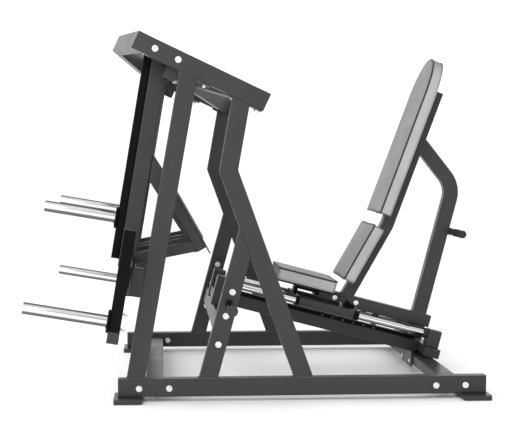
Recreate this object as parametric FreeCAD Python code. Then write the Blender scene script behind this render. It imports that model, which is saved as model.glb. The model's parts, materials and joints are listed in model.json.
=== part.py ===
import FreeCAD, Part
import math
import os

# Plate-loaded leg press with two overhead swing arms and a sliding seat.
# Millimetres. +X runs from the weight horns to the seat back, +Y to the machine's right-hand side
# as seen by the user facing -X, +Z up. The origin is under the middle of the machine, on the floor.

V = FreeCAD.Vector
Y_AXIS = V(0, 1, 0)

# ---- driving dimensions ----
DATUM_X = -443.5            # the datum plane, just in front of the arm pivot; other x values count from it
TUBE_DEEP = 80.0            # frame tube seen from the side
TUBE_WIDE = 50.0            # frame tube across the machine
WALL = 3.0
CORNER = 5.0                # outside corner radius of the frame tubes
FRAME_Y = 600.0             # middle plane of each side frame
FRAME_IN = FRAME_Y - TUBE_WIDE / 2
FRAME_OUT = FRAME_Y + TUBE_WIDE / 2

FOOT_THICK = 22.0
FOOT_LONG = 125.0
FOOT_PROUD = 50.0           # how far a foot stands out on each side of its rail
RAIL_X = (-193.0, 1437.0)
RAIL_TOP = FOOT_THICK + TUBE_DEEP
FRONT_CROSS_X = -37.5
REAR_CROSS_X = 1280.0
FRONT_CROSS_Z = (30.0, 80.0)
REAR_CROSS_Z = (45.0, 95.0)
FLANGE_THICK = 8.0
RAIL_BOLT_Z = 60.0
RAIL_BOLT_PITCH = 132.0

POST_LEAN = 9.95            # degrees from the vertical
FRONT_POST_X = -118.5       # centre line at the rail top
UPRIGHT_LEAN = 15.17
UPRIGHT_X = 200.9
LEG_LEAN = 20.06            # lower part of the bent post, the other way
LEG_X = 622.5
KNEE = (289.8, 1013.0)

BEAM_SLOPE = 25.2
BEAM_DATUM = (0.0, 1525.0)
BEAM_SPAN = (-502.0, 76.0)
NOSE_CORNER = 126.0
NOSE_APEX = 249.0
NOSE_WALL_DEEP = 50.0
BRACE_BACK = -395.0
BRACE_APEX = -95.0

PIVOT = (21.3, 1515.0)
SHAFT_R = 25.0
SHAFT_CLEARANCE = 0.05
HUB_R = 40.0
HUB_HALF = 60.0
BUSH_R = 30.0
BUSH_LONG = 35.0
BUSH_FLANGE = 4.0
PIVOT_BOLT_PITCH = 110.0
STOP_FACE_B = -1.0

ARM_LEAN = 9.5
ARM_Y = 355.0
ARM_WIDE = 50.0
ARM_B = (-11.2, 68.8)       # arm tube, measured forward of the pivot
HORN_RAIL_B = (68.8, 105.0)
HORN_RAIL_A = (-16.0, 928.0)
ARM_END_A = 966.0
CROSSBAR_A = (890.0, 990.0)
CROSSBAR_B = (4.0, 54.0)
CROSSBAR_INNER_Y = 80.0
OUTRIGGER_Y = 760.0
OUTRIGGER_A = (765.0, 1200.0)
END_CAP_LONG = 49.0
HORN_R = 25.0
HORN_SPIGOT_R = 23.0
UPPER_HORN_A = 746.0
LOWER_HORN_A = 1160.0
UPPER_HORN_TIP = 440.0
LOWER_HORN_TIP = 422.0
HORN_FLANGE_R = 50.0
HORN_FLANGE_THICK = 10.0

PLATE_LEAN = 29.5
PLATE_TOP = (73.0, 913.0)
PLATE_LONG = 315.0
PLATE_THICK = 6.0
TREAD_LONG = 240.0
TREAD_THICK = 8.0
PLATE_Y = (80.0, 420.0)
SIDE_TUBE = 45.0
SIDE_TUBE_WIDE = 40.0
SIDE_TUBE_END = 280.0
STRUT_DATUM = (20.0, 642.5)
STRUT_LEAN = 11.0

DIAGONAL_START = (-38.5, 1006.0)
DIAGONAL_LEAN = 32.3
TREAD_PITCH = 16.0
HORN_BOLT_R = 5.0
CAP_THICK = 3.0

SEAT_SLOPE = 14.6
SEAT_DATUM = (305.0, 403.0)  # on the top of the seat base rail
BASE_RAIL_S = (-46.0, 1008.0)
BASE_RAIL_N = (-54.0, 6.0)
BASE_RAIL_HALF = 40.0
ROD_R = 17.5
ROD_Y = 155.0
ROD_N = 64.0
SLEEVE_R = 23.0
LEFT_SLEEVE_S = (353.0, 626.0)
RIGHT_SLEEVE_S = (368.0, 610.0)
FRONT_YOKE_S = (334.0, 353.0)
REAR_YOKE_S = (626.0, 654.0)
YOKE_N = (41.0, 87.0)
SLEEVE_BUSH_LONG = 40.0
ROD_CLEARANCE = 0.05
SEAT_RAIL_S = (200.0, 1040.0)
SEAT_RAIL_N = (82.0, 142.0)
SEAT_RAIL_HALF = 30.0
SEAT_RAIL_FRONT_N = 124.0   # underside of its shallow front part
SEAT_RAIL_SLANT = (675.9, 26.05)  # where the deep part's slanted end meets its underside, and its angle
COLLAR_S = (462.0, 598.0)
COLLAR_N = (97.0, 127.0)
COLLAR_HALF = 36.0
RACK_S = (40.0, 990.0)
RACK_FLANGE = 6.0
RACK_HIGH = 18.0
RACK_SCREW_Y = 30.0
PIN_S = 773.5
HOLE_PITCH = 53.5
HOLE_COUNT = 6
PIN_R = 8.0
PIN_LIFT = 13.0
SKID_S = (937.0, 985.0)
ROD_SPAN = (-52.0, 1043.0)
REAR_BAR_S = (1008.0, 1083.0)
REAR_BAR_N = (-42.0, 4.0)
REAR_POST_S = (1008.0, 1070.0)
LEVER_S = 703.0
LEVER_N = 113.0
LEVER_Y = 190.0

PAD_HALF = 160.0
BOARD_THICK = 10.0
SEAT_PAD_S = (218.0, 520.0)
SEAT_PAD_THICK = 52.0
LOWER_BACK = (877.0, 482.0)
LOWER_BACK_LEAN = 29.6
LOWER_BACK_LONG = 309.0
UPPER_BACK = (1054.0, 806.0)
UPPER_BACK_LEAN = 20.3
UPPER_BACK_LONG = 810.0
UPPER_BACK_ROUND = 205.0
BACK_PAD_THICK = 50.0
BACK_POST_DEEP = 60.0
BACK_POST_HALF = 30.0
BACK_POST_TOP = 662.0
SUPPORT_DEEP = 70.0
SUPPORT_FOOT = (1291.0, 290.0)
SUPPORT_KNEE = (1456.9, 929.8)
SUPPORT_TOP_LEAN = -38.5
SUPPORT_BEND_R = 130.0
GRIP = (1455.0, 700.0)
GRIP_R = 15.0
GRIP_HALF = 190.0

PEG = (291.5, 430.5)
PEG_R = 19.0
PEG_LONG = 205.0
PEG_CAP_R = 23.5
PEG_CAP_LONG = 16.0
UPRIGHT_BOLTS = ((306.0, 483.0), (277.0, 378.0), (244.0, 252.0))
BOLT_R = 8.0
BOLT_CAP_R = 14.5
BOLT_CAP_HIGH = 6.0
BOLT_CLEARANCE = 0.3
BEAM_BOLT_U = (-226.5, -477.0)
BEAM_BOLT_R = 6.0
BOARD_SCREW_R = 4.0

NODES = {}


def direction(lean):
    """Unit vector that leans from the vertical towards +X by this many degrees."""
    angle = math.radians(lean)
    return V(math.sin(angle), 0, math.cos(angle))


class Axes:
    """A tilted pair of axes in the side view: a runs along, b runs across, y stays the machine's."""

    def __init__(self, origin, along, across):
        self.origin = V(origin[0] + DATUM_X, 0, origin[1])
        self.along = along
        self.across = across
        self.third = along.cross(across)

    def at(self, a, b, y=0.0):
        return self.origin + self.along * a + self.across * b + Y_AXIS * y

    def placement(self):
        turn = FreeCAD.Rotation(self.along, self.across, self.third, "XYZ")
        return FreeCAD.Placement(self.origin, turn)


def upward(origin, lean):
    """Axes whose a climbs with this lean and whose b points back, towards the seat."""
    return Axes(origin, direction(lean), direction(lean + 90))


WORLD = Axes((0.0, 0.0), V(1, 0, 0), V(0, 0, 1))
BEAM = Axes(BEAM_DATUM, direction(BEAM_SLOPE - 90), direction(BEAM_SLOPE))
ARM = Axes(PIVOT, -direction(ARM_LEAN), direction(ARM_LEAN - 90))
PLATE = Axes(PLATE_TOP, -direction(-PLATE_LEAN), direction(-PLATE_LEAN - 90))
STRUT = Axes(STRUT_DATUM, direction(90 - STRUT_LEAN), direction(-STRUT_LEAN))
DIAGONAL = Axes(DIAGONAL_START, -direction(-DIAGONAL_LEAN), direction(-DIAGONAL_LEAN - 90))
SEAT = Axes(SEAT_DATUM, direction(90 + SEAT_SLOPE), direction(SEAT_SLOPE))
LOW_BACK = upward(LOWER_BACK, LOWER_BACK_LEAN)
UP_BACK = upward(UPPER_BACK, UPPER_BACK_LEAN)
FRONT_POST = upward((FRONT_POST_X, RAIL_TOP), POST_LEAN)
UPRIGHT = upward((UPRIGHT_X, RAIL_TOP), UPRIGHT_LEAN)
LEG = upward((LEG_X, RAIL_TOP), -LEG_LEAN)
UPPER_LEG = upward(KNEE, POST_LEAN)


def round_edges(solid, axis, radius):
    """Round the edges of a box that run along one of its own axes."""
    edges = []
    for edge in solid.Edges:
        ends = edge.Vertexes[1].Point - edge.Vertexes[0].Point
        if abs(abs(ends.dot(axis)) - ends.Length) < 1e-6:
            edges.append(edge)
    return solid.makeFillet(radius, edges)


def block(axes, a, b, y, run="a", radius=0.0):
    """A box between limits along a, b and y, with its edges along run rounded."""
    sign = 1.0 if axes.third.y > 0 else -1.0
    low_y = min(sign * y[0], sign * y[1])
    solid = Part.makeBox(a[1] - a[0], b[1] - b[0], y[1] - y[0], V(a[0], b[0], low_y))
    if radius > 0:
        local = {"a": V(1, 0, 0), "b": V(0, 1, 0), "y": V(0, 0, 1)}[run]
        solid = round_edges(solid, local, radius)
    solid.Placement = axes.placement()
    return solid


def shrink(limits, by):
    return (limits[0] + by, limits[1] - by)


def tube(axes, a, b, y, run, radius=CORNER, wall=WALL):
    """A rectangular tube, open at both ends, that runs along a, b or y."""
    outer = block(axes, a, b, y, run, radius)
    inner = {"a": shrink(a, wall), "b": shrink(b, wall), "y": shrink(y, wall)}
    limits = {"a": a, "b": b, "y": y}
    inner[run] = shrink(limits[run], -1.0)
    bore = block(axes, inner["a"], inner["b"], inner["y"], run, max(radius - wall, 1.0))
    return outer.cut(bore)


def cylinder(start, end, radius):
    axis = end - start
    return Part.makeCylinder(radius, axis.Length, start, axis)


def trim(solid, point, normal):
    """Cut away everything that lies on the normal's side of a plane."""
    size = 4000.0
    knife = Part.makeBox(size, size, size, V(-size / 2, -size / 2, 0))
    knife.Placement = FreeCAD.Placement(point, FreeCAD.Rotation(V(0, 0, 1), normal))
    return solid.cut(knife)


def fuse(*solids):
    whole = solids[0]
    for solid in solids[1:]:
        whole = whole.fuse(solid)
    return whole.removeSplitter()


def cut_all(solid, tools):
    for tool in tools:
        solid = solid.cut(tool)
    return solid


def right(solid):
    """The same piece on the other side of the machine."""
    return solid.mirror(V(0, 0, 0), Y_AXIS)


def keep(name, *solids):
    """File the solids of one node."""
    NODES[name] = solids


def keep_pair(name, *solids):
    """File a piece, or a set of pieces, of the left side and its twin on the right as two nodes."""
    keep(name + "_left", *solids)
    keep(name + "_right", *[right(solid) for solid in solids])


def keep_both(name, *solids):
    """File a piece of the left side and its twin on the right as one node of separate solids."""
    keep(name, *solids, *[right(solid) for solid in solids])


def bolt(start, end, shank_r, cap_r, cap_high):
    """A bolt with a round cap on the start face and a shank to the end face."""
    axis = (end - start).normalize()
    crown_centre = start - axis * cap_high
    cap = cylinder(crown_centre, start, cap_r)
    crown = [e for e in cap.Edges if (e.BoundBox.Center - crown_centre).Length < 0.1]
    return fuse(cylinder(start, end, shank_r), cap.makeFillet(cap_high * 0.4, crown))


def nut(face, axis, shank_r):
    """A hexagonal nut that sits on a face round a bolt."""
    corners = []
    for i in range(7):
        angle = math.radians(60 * i)
        corners.append(V(math.cos(angle), math.sin(angle), 0) * shank_r * 1.85)
    solid = Part.Face(Part.makePolygon(corners)).extrude(V(0, 0, shank_r * 1.5))
    solid.Placement = FreeCAD.Placement(face, FreeCAD.Rotation(V(0, 0, 1), axis))
    return solid.cut(cylinder(face - axis, face + axis * shank_r * 3, shank_r))


def hole(start, end, radius, spare=2.0):
    axis = (end - start).normalize()
    return cylinder(start - axis * spare, end + axis * spare, radius)


LEFT = (-FRAME_OUT, -FRAME_IN)


def frame_bolt_lines():
    """The ends of every bolt that runs across a left side frame tube, outside to inside."""
    inner = -FRAME_IN + FLANGE_THICK
    lines = []
    for middle in (FRONT_CROSS_X, REAR_CROSS_X):
        for side in (-0.5, 0.5):
            x = middle + side * RAIL_BOLT_PITCH
            lines.append((WORLD.at(x, RAIL_BOLT_Z, -FRAME_OUT), WORLD.at(x, RAIL_BOLT_Z, inner)))
    pivot_u = (V(PIVOT[0] + DATUM_X, 0, PIVOT[1]) - BEAM.origin).dot(BEAM.along)
    for side in (-0.5, 0.5):
        u = pivot_u + side * PIVOT_BOLT_PITCH
        lines.append((BEAM.at(u, 0, -FRAME_OUT), BEAM.at(u, 0, inner)))
    for x, z in UPRIGHT_BOLTS:
        lines.append((WORLD.at(x, z, -FRAME_OUT), WORLD.at(x, z, inner)))
    return lines


def beam_bolt_lines():
    """Bolts that clamp the posts' top flanges to the left beam, from above to below."""
    half = TUBE_DEEP / 2
    return [(BEAM.at(u, half, -FRAME_Y), BEAM.at(u, -half - FLANGE_THICK, -FRAME_Y)) for u in BEAM_BOLT_U]


def frame_holes():
    return [hole(a, b, BOLT_R + BOLT_CLEARANCE) for a, b in frame_bolt_lines()]


def beam_holes():
    return [hole(a, b, BEAM_BOLT_R + BOLT_CLEARANCE) for a, b in beam_bolt_lines()]


def base():
    half = TUBE_DEEP / 2
    rail = tube(WORLD, RAIL_X, (FOOT_THICK, RAIL_TOP), LEFT, "a")
    keep_both("base_rails", cut_all(rail, frame_holes()))
    foot_y = (-FRAME_OUT - FOOT_PROUD, -FRAME_IN + FOOT_PROUD)
    front_foot = (RAIL_X[0] - 21.0, RAIL_X[0] - 21.0 + FOOT_LONG)
    rear_foot = (RAIL_X[1] + 16.0 - FOOT_LONG, RAIL_X[1] + 16.0)
    feet = [block(WORLD, span, (0.0, FOOT_THICK), foot_y, "b", 6.0) for span in (front_foot, rear_foot)]
    keep_both("base_feet", *feet)
    bars = []
    for middle, height in ((FRONT_CROSS_X, FRONT_CROSS_Z), (REAR_CROSS_X, REAR_CROSS_Z)):
        span = (middle - half, middle + half)
        inner_y = FRAME_IN - FLANGE_THICK
        bar = tube(WORLD, span, height, (-inner_y, inner_y), "y")
        flange_x = (middle - 90.0, middle + 90.0)
        plate = block(WORLD, flange_x, (FOOT_THICK + 3, RAIL_TOP - 3), (-FRAME_IN, -inner_y), "y", 6.0)
        plate = cut_all(plate, frame_holes())
        bars.append(cut_all(fuse(bar, plate, right(plate)), rear_flange_holes()))
    keep("base_crossbars", *bars)


def posts():
    half = TUBE_DEEP / 2
    under_beam = BEAM.at(0, -half - FLANGE_THICK)
    rail_top = WORLD.at(0, RAIL_TOP)
    side = (-half, half)

    def post(axes, a):
        body = tube(axes, a, side, LEFT, "a")
        body = trim(body, rail_top, V(0, 0, -1))
        return trim(body, under_beam, BEAM.across)

    def top_flange(u_front, u_back):
        plate = block(BEAM, (u_back, u_front), (-half - FLANGE_THICK, -half), shrink(LEFT, 1.0))
        return cut_all(plate, beam_holes())

    front = post(FRONT_POST, (-100.0, 1500.0))
    bracket = tube(ARM, (935.0, 1060.0), (-90.0, STOP_FACE_B), shrink(LEFT, 5.5), "a", 6.0)
    bracket = trim(bracket, FRONT_POST.at(0, -half), FRONT_POST.across)
    keep_both("front_posts", fuse(front, top_flange(-95.0, -250.0), bracket))

    bend = LEG.at(0, 0) - UPPER_LEG.origin
    leg_length = bend.Length
    middle = (direction(POST_LEAN) + direction(-LEG_LEAN)).normalize()
    lower = trim(tube(LEG, (-100.0, leg_length + 60.0), side, LEFT, "a"), UPPER_LEG.origin, middle)
    upper = trim(tube(UPPER_LEG, (-60.0, 500.0), side, LEFT, "a"), UPPER_LEG.origin, -middle)
    bent = fuse(trim(lower, rail_top, V(0, 0, -1)), trim(upper, under_beam, BEAM.across))
    keep_both("bent_posts", fuse(bent, top_flange(-330.0, -500.0)))

    upright = post(UPRIGHT, (-100.0, 900.0))
    upright = trim(upright, LEG.at(0, -half), LEG.across)
    stud = hole(WORLD.at(*PEG, -FRAME_OUT), WORLD.at(*PEG, -FRAME_IN), BEAM_BOLT_R + BOLT_CLEARANCE)
    keep_both("rear_uprights", cut_all(upright, frame_holes() + [stud]))


def nose_outline(shift):
    """Corners of the front nose seen square on, moved inwards by shift."""
    rise = (NOSE_APEX - NOSE_CORNER) / FRAME_OUT
    slant = math.hypot(1.0, rise)
    outer_y = FRAME_OUT - shift
    inner_y = FRAME_IN + shift
    apex = NOSE_APEX - shift * slant
    inner_apex = NOSE_APEX - (NOSE_WALL_DEEP - shift) * slant
    back = BEAM_SPAN[1] - (2.0 if shift else 0.0)
    half = [(back, -inner_y), (back, -outer_y), (apex - rise * outer_y, -outer_y), (apex, 0.0)]
    far = [(apex - rise * outer_y, outer_y), (back, outer_y), (back, inner_y)]
    inside = [(inner_apex - rise * inner_y, inner_y), (inner_apex, 0.0), (inner_apex - rise * inner_y, -inner_y)]
    return half + far + inside


def brace_outline(wide, end_y):
    """Corners of the V behind the pivot seen square on; wide is half its tube's width."""
    slope = (BRACE_APEX - BRACE_BACK) / FRAME_IN
    spread = wide * math.hypot(1.0, slope)
    end = BRACE_APEX - slope * end_y
    centre = [(end, -end_y), (BRACE_APEX, 0.0), (end, end_y)]
    return [(a + spread, y) for a, y in centre] + [(a - spread, y) for a, y in reversed(centre)]


def prism(axes, outline, b):
    """Extrude an outline given in a and y between two values of b."""
    points = [axes.at(a, b[0], y) for a, y in outline]
    points.append(points[0])
    return Part.Face(Part.makePolygon(points)).extrude(axes.across * (b[1] - b[0]))


def top_frame():
    half = TUBE_DEEP / 2
    beam = tube(BEAM, BEAM_SPAN, (-half, half), LEFT, "a")
    keep_both("top_beams", cut_all(beam, frame_holes() + beam_holes()))
    nose = prism(BEAM, nose_outline(0.0), (-half, half))
    keep("top_nose", nose.cut(prism(BEAM, nose_outline(WALL), (-half + WALL, half - WALL))))
    brace = prism(BEAM, brace_outline(TUBE_WIDE / 2, FRAME_IN), (-half, half))
    hollow = prism(BEAM, brace_outline(TUBE_WIDE / 2 - WALL, FRAME_IN + 2.0), (-half + WALL, half - WALL))
    keep("top_brace", brace.cut(hollow))


def pivot():
    inner_y = FRAME_IN - FLANGE_THICK
    shaft = cylinder(ARM.at(0, 0, -inner_y), ARM.at(0, 0, inner_y), SHAFT_R)
    pivot_u = (ARM.origin - BEAM.origin).dot(BEAM.along)
    reach = PIVOT_BOLT_PITCH / 2 + 22.0
    plate = block(BEAM, (pivot_u - reach, pivot_u + reach), (-92.0, 33.0), (-FRAME_IN, -inner_y), "y", 8.0)
    plate = cut_all(plate, frame_holes())
    keep("pivot_shaft", fuse(shaft, plate, right(plate)))
    collars = []
    for middle in (ARM_Y - HUB_HALF - BUSH_FLANGE - 11.0, ARM_Y + HUB_HALF + BUSH_FLANGE + 11.0):
        ring = cylinder(ARM.at(0, 0, -middle - 10.0), ARM.at(0, 0, -middle + 10.0), SHAFT_R + 11.0)
        bore = hole(ARM.at(0, 0, -middle - 10.0), ARM.at(0, 0, -middle + 10.0), SHAFT_R)
        collars.append(ring.cut(bore))
    keep_both("shaft_collars", *collars)


def stops():
    """Rubber bumpers on the front posts' brackets that each arm's crossbar rests on, and those of the seat rods."""
    bumper = block(ARM, (938.0, 988.0), (STOP_FACE_B, CROSSBAR_B[0] - 0.3), shrink(LEFT, 8.0), "b", 6.0)
    ring_start = SEAT.at(SKID_S[1] + 0.3, ROD_N, -ROD_Y)
    ring_end = SEAT.at(REAR_POST_S[0], ROD_N, -ROD_Y)
    ring = cylinder(ring_start, ring_end, ROD_R + 8.0).cut(hole(ring_start, ring_end, ROD_R))
    keep_both("rubber_stops", bumper, ring)


def arms():
    hub_y = (-ARM_Y - HUB_HALF, -ARM_Y + HUB_HALF)
    arm_y = (-ARM_Y - ARM_WIDE / 2, -ARM_Y + ARM_WIDE / 2)
    hub = cylinder(ARM.at(0, 0, hub_y[0]), ARM.at(0, 0, hub_y[1]), HUB_R)
    bore = hole(ARM.at(0, 0, hub_y[0]), ARM.at(0, 0, hub_y[1]), BUSH_R)
    arm_tube = tube(ARM, (-22.0, ARM_END_A), ARM_B, arm_y, "a", 9.0)
    arm_tube = arm_tube.cut(block(ARM, CROSSBAR_A, CROSSBAR_B, shrink(arm_y, -5.0)))
    keep_pair("press_arm", fuse(arm_tube, hub).cut(bore))

    bushes = []
    for outer, inner in ((hub_y[0], hub_y[0] + BUSH_LONG), (hub_y[1], hub_y[1] - BUSH_LONG)):
        out = -1.0 if outer < inner else 1.0
        sleeve = cylinder(ARM.at(0, 0, inner), ARM.at(0, 0, outer), BUSH_R)
        rim = cylinder(ARM.at(0, 0, outer), ARM.at(0, 0, outer + out * BUSH_FLANGE), BUSH_R + 6.0)
        running = hole(ARM.at(0, 0, min(outer, inner)), ARM.at(0, 0, max(outer, inner)),
                       SHAFT_R + SHAFT_CLEARANCE, 8.0)
        bushes.append(fuse(sleeve, rim).cut(running))
    keep_pair("arm_bushes", *bushes)

    horn_rail = tube(ARM, HORN_RAIL_A, HORN_RAIL_B, arm_y, "a", 6.0)
    keep_pair("horn_rail", cut_all(horn_rail, horn_bolt_holes()))
    crossbar = tube(ARM, CROSSBAR_A, CROSSBAR_B, (-OUTRIGGER_Y + TUBE_WIDE / 2, -CROSSBAR_INNER_Y), "y")
    out_y = (-OUTRIGGER_Y - TUBE_WIDE / 2, -OUTRIGGER_Y + TUBE_WIDE / 2)
    outrigger = tube(ARM, OUTRIGGER_A, CROSSBAR_B, out_y, "a")
    keep_pair("outrigger", cut_all(fuse(outrigger, crossbar), horn_bolt_holes()))


def horn_seats():
    """Axis position, face, far face and side of the two horns of the left arm."""
    return ((UPPER_HORN_A, HORN_RAIL_B, ARM_Y, UPPER_HORN_TIP), (LOWER_HORN_A, CROSSBAR_B, OUTRIGGER_Y, LOWER_HORN_TIP))


def horn_bolt_lines():
    """Ends of the four bolts of each left horn: the flange's face, then the tube's far side."""
    lines = []
    for a, b, y, _tip in horn_seats():
        for da in (-33.0, 33.0):
            for dy in (-13.0, 13.0):
                lines.append((ARM.at(a + da, b[1] + HORN_FLANGE_THICK, dy - y), ARM.at(a + da, b[0], dy - y)))
    return lines


def horn_bolt_holes():
    return [hole(a, b, HORN_BOLT_R + BOLT_CLEARANCE, 0.5) for a, b in horn_bolt_lines()]


def horns():
    drills = horn_bolt_holes()
    flanges = []
    pair = []
    for a, b, y, tip in horn_seats():
        flange = cylinder(ARM.at(a, b[1], -y), ARM.at(a, b[1] + HORN_FLANGE_THICK, -y), HORN_FLANGE_R)
        spigot = cylinder(ARM.at(a, b[1], -y), ARM.at(a, b[1] + HORN_FLANGE_THICK, -y), HORN_SPIGOT_R)
        post = cylinder(ARM.at(a, b[1] + HORN_FLANGE_THICK, -y), ARM.at(a, tip, -y), HORN_R)
        mouth = [e for e in post.Edges if (e.BoundBox.Center - ARM.at(a, tip, -y)).Length < 0.1]
        flanges.append(cut_all(flange, drills).cut(spigot))
        pair.append(spigot.fuse(post.makeFillet(3.0, mouth)))
    keep_pair("horn_flanges", *flanges)
    keep_pair("weight_horns", *pair)
    bolts = []
    nuts = []
    for index, (start, end) in enumerate(horn_bolt_lines()):
        back = (end - start).normalize()
        through = index >= 4
        bolts.append(bolt(start, end + back * (22.0 if through else -1.0), HORN_BOLT_R, 8.5, 5.0))
        if through:
            nuts.append(nut(end, back, HORN_BOLT_R))
    keep_pair("horn_bolts", *bolts, *nuts)


def foot_plates():
    half = ARM_WIDE / 2
    arm_y = (-ARM_Y - half, -ARM_Y + half)
    plate_y = (-PLATE_Y[1], -PLATE_Y[0])
    back = TREAD_THICK + PLATE_THICK
    plate = block(PLATE, (0.0, PLATE_LONG), (TREAD_THICK, back), plate_y, "b", 18.0)
    keep_pair("foot_plate", plate)
    tread = block(PLATE, (3.0, TREAD_LONG), (0.0, TREAD_THICK), shrink(plate_y, 3.0), "b", 14.0)
    for i in range(int(TREAD_LONG // TREAD_PITCH)):
        groove = 10.0 + i * TREAD_PITCH
        tread = tread.cut(block(PLATE, (groove, groove + 5.0), (-1.0, 2.5), shrink(plate_y, 12.0)))
    keep_pair("tread_pad", tread)
    outer_y = (-PLATE_Y[1], -PLATE_Y[1] + SIDE_TUBE_WIDE)
    inner_y = (-PLATE_Y[0] - SIDE_TUBE_WIDE, -PLATE_Y[0])
    crossbar_face = ARM.at(0, CROSSBAR_B[0])
    frames = []
    for y in (outer_y, inner_y):
        side = tube(PLATE, (0.0, SIDE_TUBE_END), (back, back + SIDE_TUBE), y, "a")
        strut = tube(STRUT, (-300.0, 300.0), (-25.0, 25.0), y, "a")
        strut = trim(strut, crossbar_face, ARM.across)
        strut = trim(strut, PLATE.at(0, back + SIDE_TUBE), -PLATE.across)
        frames.append(fuse(side, strut))
    diagonal = tube(DIAGONAL, (-500.0, 600.0), (-TUBE_DEEP / 2, TUBE_DEEP / 2), arm_y, "a")
    diagonal = trim(diagonal, ARM.at(0, ARM_B[0]), ARM.across)
    diagonal = trim(diagonal, PLATE.at(SIDE_TUBE_END, 0), PLATE.along)
    diagonal = diagonal.cut(block(PLATE, (-2.0, 400.0), (-200.0, back), shrink(arm_y, -5.0)))
    keep_pair("plate_frame", *frames, diagonal)


def arm_caps():
    """Plastic plugs in the open ends of the left arm's tubes."""
    y = (-OUTRIGGER_Y - TUBE_WIDE / 2, -OUTRIGGER_Y + TUBE_WIDE / 2)
    top = plug(ARM, "a", OUTRIGGER_A[0], -1, CROSSBAR_B, y)
    inner = plug(ARM, "y", -CROSSBAR_INNER_Y, 1, CROSSBAR_A, CROSSBAR_B)
    y = (-ARM_Y - ARM_WIDE / 2, -ARM_Y + ARM_WIDE / 2)
    high = plug(ARM, "a", HORN_RAIL_A[0], -1, HORN_RAIL_B, y)
    low = plug(ARM, "a", HORN_RAIL_A[1], 1, HORN_RAIL_B, y)
    y = (-OUTRIGGER_Y - TUBE_WIDE / 2, -OUTRIGGER_Y + TUBE_WIDE / 2)
    end = OUTRIGGER_A[1]
    shoe = block(ARM, (end, end + END_CAP_LONG), CROSSBAR_B, shrink(y, -1.5), "a", CORNER)
    stem = block(ARM, (end - 20.0, end), shrink(CROSSBAR_B, WALL + 0.5), shrink(y, WALL + 0.5), "a", 2.0)
    keep_pair("arm_end_caps", top, inner, high, low, cut_all(fuse(shoe, stem), horn_bolt_holes()))


def plug(axes, run, end, out, first, second):
    """A plastic plug that closes a tube's end; first and second are the tube's outside limits."""
    cap_span = (end, end + out * CAP_THICK)
    stem_span = (end - out * 14.0, end)
    shapes = []
    for span, gap in ((cap_span, 0.0), (stem_span, WALL + 0.4)):
        low_high = (min(span), max(span))
        if run == "a":
            shapes.append(block(axes, low_high, shrink(first, gap), shrink(second, gap), "a", 3.0 if gap else CORNER))
        else:
            shapes.append(block(axes, shrink(first, gap), shrink(second, gap), low_high, "y", 3.0 if gap else CORNER))
    return fuse(*shapes)


def seat_frame():
    cross_n = (BASE_RAIL_N[0] - TUBE_DEEP, BASE_RAIL_N[0])
    cross_s = (BASE_RAIL_S[0], BASE_RAIL_S[0] + 50.0)
    inner_y = FRAME_IN - FLANGE_THICK
    bar = tube(SEAT, cross_s, cross_n, (-inner_y, inner_y), "y")
    plate = block(UPRIGHT, (134.0, 417.0), (-36.0, 36.0), (-FRAME_IN, -inner_y), "y", 6.0)
    stud = hole(WORLD.at(*PEG, -FRAME_IN), WORLD.at(*PEG, -inner_y), BOLT_R * 1.9)
    plate = cut_all(plate, frame_holes() + [stud])
    keep("seat_cross_front", fuse(bar, plate, right(plate)))

    rail = tube(SEAT, BASE_RAIL_S, BASE_RAIL_N, (-BASE_RAIL_HALF, BASE_RAIL_HALF), "a")
    top = BASE_RAIL_N[1]
    strip = block(SEAT, RACK_S, (top, top + RACK_FLANGE), (-36.0, 36.0))
    rack = fuse(strip, block(SEAT, RACK_S, (top + RACK_FLANGE, top + RACK_HIGH), (-22.0, 22.0)))
    for s in rack_stations():
        pin_hole = cylinder(SEAT.at(s, top - 8.0), SEAT.at(s, top + RACK_HIGH + 8.0), PIN_R + 0.5)
        rack = rack.cut(pin_hole)
        rail = rail.cut(pin_hole)
    keep("lock_rack", cut_all(rack, rack_screw_holes()))
    rail = cut_all(rail, rack_screw_holes())
    face = REAR_CROSS_X - TUBE_DEEP / 2
    flange = block(WORLD, (face - FLANGE_THICK, face), (34.0, 112.0), (-100.0, 100.0), "a", 8.0)
    flange = cut_all(flange, rear_flange_holes())
    keep("seat_base_rail", fuse(rail, flange))

    lugs = []
    for y in (-ROD_Y, ROD_Y):
        lug = block(SEAT, (-62.0, -2.0), (BASE_RAIL_N[0], ROD_N + 28.0), (y - 27.0, y + 27.0), "a", 8.0)
        lugs.append(lug.cut(cylinder(SEAT.at(ROD_SPAN[0], ROD_N, y), SEAT.at(5.0, ROD_N, y), ROD_R)))
    link = block(SEAT, (-56.0, -46.0), (-40.0, 6.0), (-ROD_Y, ROD_Y), "y", 3.0)

    bar = tube(SEAT, REAR_BAR_S, REAR_BAR_N, (-190.0, 190.0), "y")
    for y in (-ROD_Y, ROD_Y):
        lug = block(SEAT, REAR_POST_S, (REAR_BAR_N[1], ROD_N + 26.0), (y - 30.0, y + 30.0), "a", 8.0)
        bar = bar.fuse(lug.cut(cylinder(SEAT.at(1000.0, ROD_N, y), SEAT.at(ROD_SPAN[1], ROD_N, y), ROD_R)))
    keep("rod_brackets", fuse(lugs[0], lugs[1], link), bar.removeSplitter())
    keep_both("guide_rods", cylinder(SEAT.at(ROD_SPAN[0], ROD_N, -ROD_Y), SEAT.at(ROD_SPAN[1], ROD_N, -ROD_Y), ROD_R))


def rack_stations():
    """Where the lock pin's holes lie along the seat base rail."""
    return [PIN_S - i * HOLE_PITCH for i in range(HOLE_COUNT)]


def rack_screw_lines():
    """Small screws on both sides of each pin hole that hold the rack to the rail."""
    top = BASE_RAIL_N[1]
    spots = [(s, y) for s in rack_stations() for y in (-RACK_SCREW_Y, RACK_SCREW_Y)]
    return [(SEAT.at(s, top + RACK_FLANGE, y), SEAT.at(s, top - WALL, y)) for s, y in spots]


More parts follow.
